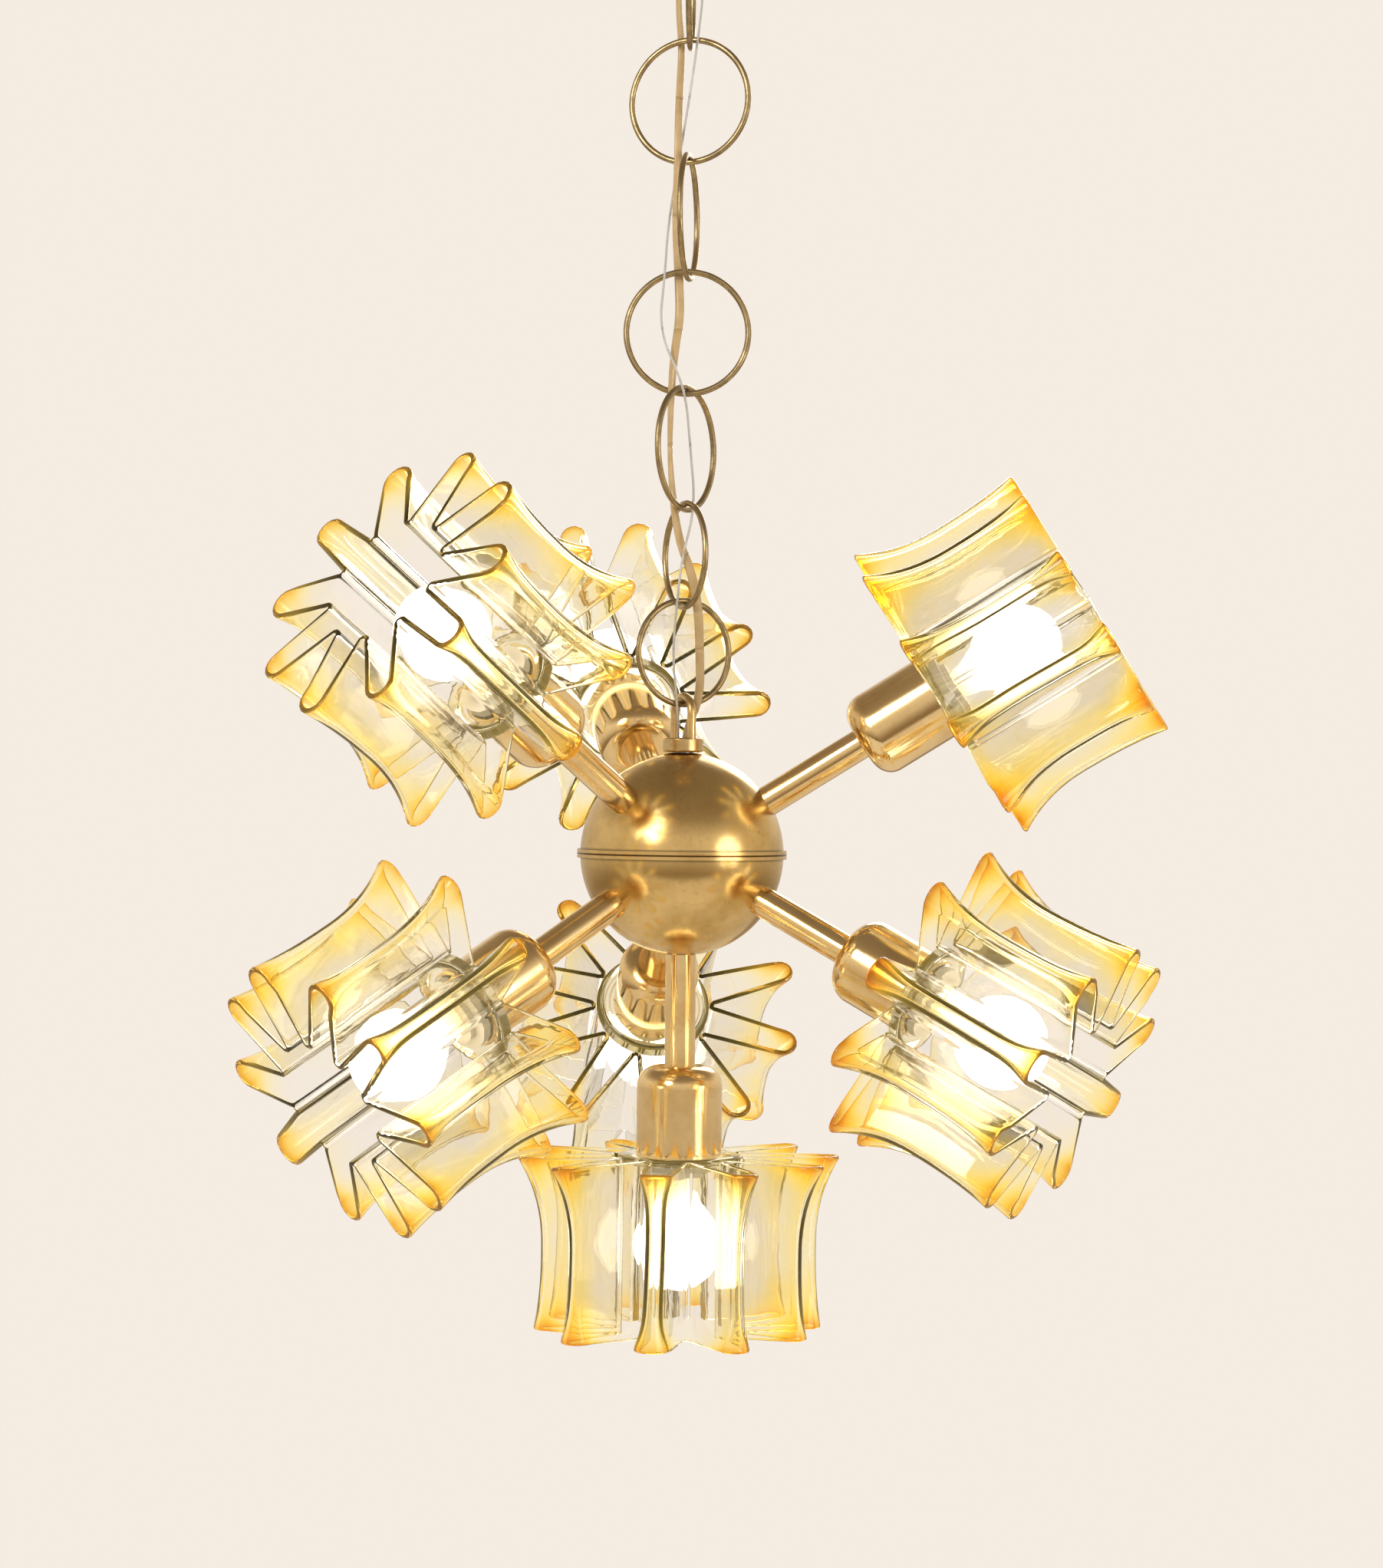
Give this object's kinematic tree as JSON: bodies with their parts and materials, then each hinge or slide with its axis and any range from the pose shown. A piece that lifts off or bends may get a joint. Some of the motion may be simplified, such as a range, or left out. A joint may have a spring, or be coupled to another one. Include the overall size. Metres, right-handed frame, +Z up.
{
  "type": "sputnik chandelier",
  "caption": "Pendant lamp with a split ball, arms in all directions, star-pleated glass shades round small globe lamps, hung on a chain of round rings.",
  "frame": {"origin": "middle of the crossbar's top face, on the ceiling", "axes": "+Z up, out of the ceiling side; -Y is the pictured front; +X to the right"},
  "size_m": [0.4429, 0.4384, 0.7696],
  "materials": {
    "ball_brass": "satin",
    "arm_brass": "polished",
    "fitting_brass": "satin",
    "chain_brass": "dull antique",
    "plated_steel": "zinc plated",
    "amber_glass": "clear to amber, fire polished",
    "frosted_bulb": "frosted",
    "contact_brass": "plain",
    "cream_plastic": "moulded",
    "gold_flex": "clear gold PVC",
    "earth_sleeve": "clear PVC on tinned wire",
    "lead_sleeve": "silicone sleeve"
  },
  "bodies": {
    "ceiling_fitting": {"canopy": "fitting_brass", "crossbar": "plated_steel", "ceiling_nipple": "plated_steel", "nipple_nuts": "plated_steel", "canopy_loop": "fitting_brass", "canopy_terminal_block": "cream_plastic", "flex": "gold_flex", "earth_wire": "earth_sleeve"},
    "ring_7": {"chain_ring_7": "chain_brass"},
    "ring_6": {"chain_ring_6": "chain_brass"},
    "ring_5": {"chain_ring_5": "chain_brass"},
    "ring_4": {"chain_ring_4": "chain_brass"},
    "ring_3": {"chain_ring_3": "chain_brass"},
    "ring_2": {"chain_ring_2": "chain_brass"},
    "ring_1": {"chain_ring_1": "chain_brass"},
    "lamp_body": {"hanging_loop": "fitting_brass", "upper_hemisphere": "ball_brass", "lower_hemisphere": "ball_brass", "centre_rod": "plated_steel", "arm_rods": "plated_steel", "rod_nuts": "plated_steel", "terminal_block": "cream_plastic", "lamp_wires": "lead_sleeve", "lampholders": "cream_plastic", "shade_rings": "cream_plastic", "arm_tube_a": "arm_brass", "socket_cup_a": "arm_brass", "glass_shade_a": "amber_glass", "arm_tube_b": "arm_brass", "socket_cup_b": "arm_brass", "glass_shade_b": "amber_glass", "arm_tube_c": "arm_brass", "socket_cup_c": "arm_brass", "glass_shade_c": "amber_glass", "arm_tube_d": "arm_brass", "socket_cup_d": "arm_brass", "glass_shade_d": "amber_glass", "arm_tube_e": "arm_brass", "socket_cup_e": "arm_brass", "glass_shade_e": "amber_glass", "arm_tube_f": "arm_brass", "socket_cup_f": "arm_brass", "glass_shade_f": "amber_glass", "arm_tube_g": "arm_brass", "socket_cup_g": "arm_brass", "glass_shade_g": "amber_glass"},
    "bulb_a_travel": {"bulb_contact_a": "contact_brass"},
    "bulb_a_turn": {"bulb_a": "frosted_bulb"},
    "bulb_b_travel": {"bulb_contact_b": "contact_brass"},
    "bulb_b_turn": {"bulb_b": "frosted_bulb"},
    "bulb_c_travel": {"bulb_contact_c": "contact_brass"},
    "bulb_c_turn": {"bulb_c": "frosted_bulb"},
    "bulb_d_travel": {"bulb_contact_d": "contact_brass"},
    "bulb_d_turn": {"bulb_d": "frosted_bulb"},
    "bulb_e_travel": {"bulb_contact_e": "contact_brass"},
    "bulb_e_turn": {"bulb_e": "frosted_bulb"},
    "bulb_f_travel": {"bulb_contact_f": "contact_brass"},
    "bulb_f_turn": {"bulb_f": "frosted_bulb"},
    "bulb_g_travel": {"bulb_contact_g": "contact_brass"},
    "bulb_g_turn": {"bulb_g": "frosted_bulb"}
  },
  "joints": [
    {"name": "ring_7_swing", "type": "hinge", "parent": "ceiling_fitting", "child": "ring_7", "pos_m": [0, 0, -0.0822], "axis": [-0.9994, 0.0349, 0], "range_deg": [-15, 15], "deforming": ["flex", "earth_wire"]},
    {"name": "ring_6_swing", "type": "hinge", "parent": "ring_7", "child": "ring_6", "pos_m": [0, 0, -0.13845], "axis": [0.0349, 0.9994, 0], "range_deg": [-15, 15]},
    {"name": "ring_5_swing", "type": "hinge", "parent": "ring_6", "child": "ring_5", "pos_m": [0, 0, -0.1954], "axis": [0.9511, -0.309, 0], "range_deg": [-15, 15]},
    {"name": "ring_4_swing", "type": "hinge", "parent": "ring_5", "child": "ring_4", "pos_m": [0, 0, -0.25235], "axis": [0.1392, 0.9903, 0], "range_deg": [-15, 15]},
    {"name": "ring_3_swing", "type": "hinge", "parent": "ring_4", "child": "ring_3", "pos_m": [0, 0, -0.3093], "axis": [1, 0, 0], "range_deg": [-15, 15]},
    {"name": "ring_2_swing", "type": "hinge", "parent": "ring_3", "child": "ring_2", "pos_m": [0, 0, -0.36625], "axis": [0.454, 0.891, 0], "range_deg": [-15, 15]},
    {"name": "ring_1_swing", "type": "hinge", "parent": "ring_2", "child": "ring_1", "pos_m": [0, 0, -0.4142], "axis": [0.3907, -0.9205, 0], "range_deg": [-15, 15]},
    {"name": "lamp_swing", "type": "hinge", "parent": "ring_1", "child": "lamp_body", "pos_m": [0, 0, -0.46215], "axis": [0.866, 0.5, 0], "range_deg": [-15, 15]},
    {"name": "bulb_a_out", "type": "slide", "parent": "lamp_body", "child": "bulb_a_travel", "axis": [-0.5675, -0.6302, 0.5299], "range_m": [0, 0.01411]},
    {"name": "bulb_a_unscrew", "type": "hinge", "parent": "bulb_a_travel", "child": "bulb_a_turn", "pos_m": [-0.07831, -0.08697, -0.46247], "axis": [-0.5675, -0.6302, 0.5299], "range_deg": [0, 1805]},
    {"name": "bulb_b_out", "type": "slide", "parent": "lamp_body", "child": "bulb_b_travel", "axis": [0.8376, -0.1327, 0.5299], "range_m": [0, 0.01411]},
    {"name": "bulb_b_unscrew", "type": "hinge", "parent": "bulb_b_travel", "child": "bulb_b_turn", "pos_m": [0.11559, -0.01831, -0.46247], "axis": [0.8376, -0.1327, 0.5299], "range_deg": [0, 1805]},
    {"name": "bulb_c_out", "type": "slide", "parent": "lamp_body", "child": "bulb_c_travel", "axis": [0.7784, -0.4494, -0.4384], "range_m": [0, 0.01411]},
    {"name": "bulb_c_unscrew", "type": "hinge", "parent": "bulb_c_travel", "child": "bulb_c_turn", "pos_m": [0.10742, -0.06202, -0.5961], "axis": [0.7784, -0.4494, -0.4384], "range_deg": [0, 1805]},
    {"name": "bulb_d_out", "type": "slide", "parent": "lamp_body", "child": "bulb_d_travel", "axis": [-0.6683, -0.5707, -0.4772], "range_m": [0, 0.01411]},
    {"name": "bulb_d_unscrew", "type": "hinge", "parent": "bulb_d_travel", "child": "bulb_d_turn", "pos_m": [-0.09222, -0.07876, -0.60145], "axis": [-0.6683, -0.5707, -0.4772], "range_deg": [0, 1805]},
    {"name": "bulb_e_out", "type": "slide", "parent": "lamp_body", "child": "bulb_e_travel", "axis": [-0.2095, 0.8403, 0.5], "range_m": [0, 0.01411]},
    {"name": "bulb_e_unscrew", "type": "hinge", "parent": "bulb_e_travel", "child": "bulb_e_turn", "pos_m": [-0.02891, 0.11596, -0.4666], "axis": [-0.2095, 0.8403, 0.5], "range_deg": [0, 1805]},
    {"name": "bulb_f_out", "type": "slide", "parent": "lamp_body", "child": "bulb_f_travel", "axis": [-0.101, 0.8229, -0.5592], "range_m": [0, 0.01411]},
    {"name": "bulb_f_unscrew", "type": "hinge", "parent": "bulb_f_travel", "child": "bulb_f_turn", "pos_m": [-0.01394, 0.11355, -0.61277], "axis": [-0.101, 0.8229, -0.5592], "range_deg": [0, 1805]},
    {"name": "bulb_g_out", "type": "slide", "parent": "lamp_body", "child": "bulb_g_travel", "axis": [0, 0, -1], "range_m": [0, 0.01411]},
    {"name": "bulb_g_unscrew", "type": "hinge", "parent": "bulb_g_travel", "child": "bulb_g_turn", "pos_m": [0, 0, -0.6736], "axis": [0, 0, -1], "range_deg": [0, 1805]}
  ],
  "couplings": [
    {"joint": "bulb_a_unscrew", "follows": "bulb_a_out", "rad_per_m": 2226.5},
    {"joint": "bulb_b_unscrew", "follows": "bulb_b_out", "rad_per_m": 2226.5},
    {"joint": "bulb_c_unscrew", "follows": "bulb_c_out", "rad_per_m": 2226.5},
    {"joint": "bulb_d_unscrew", "follows": "bulb_d_out", "rad_per_m": 2226.5},
    {"joint": "bulb_e_unscrew", "follows": "bulb_e_out", "rad_per_m": 2226.5},
    {"joint": "bulb_f_unscrew", "follows": "bulb_f_out", "rad_per_m": 2226.5},
    {"joint": "bulb_g_unscrew", "follows": "bulb_g_out", "rad_per_m": 2226.5}
  ]
}
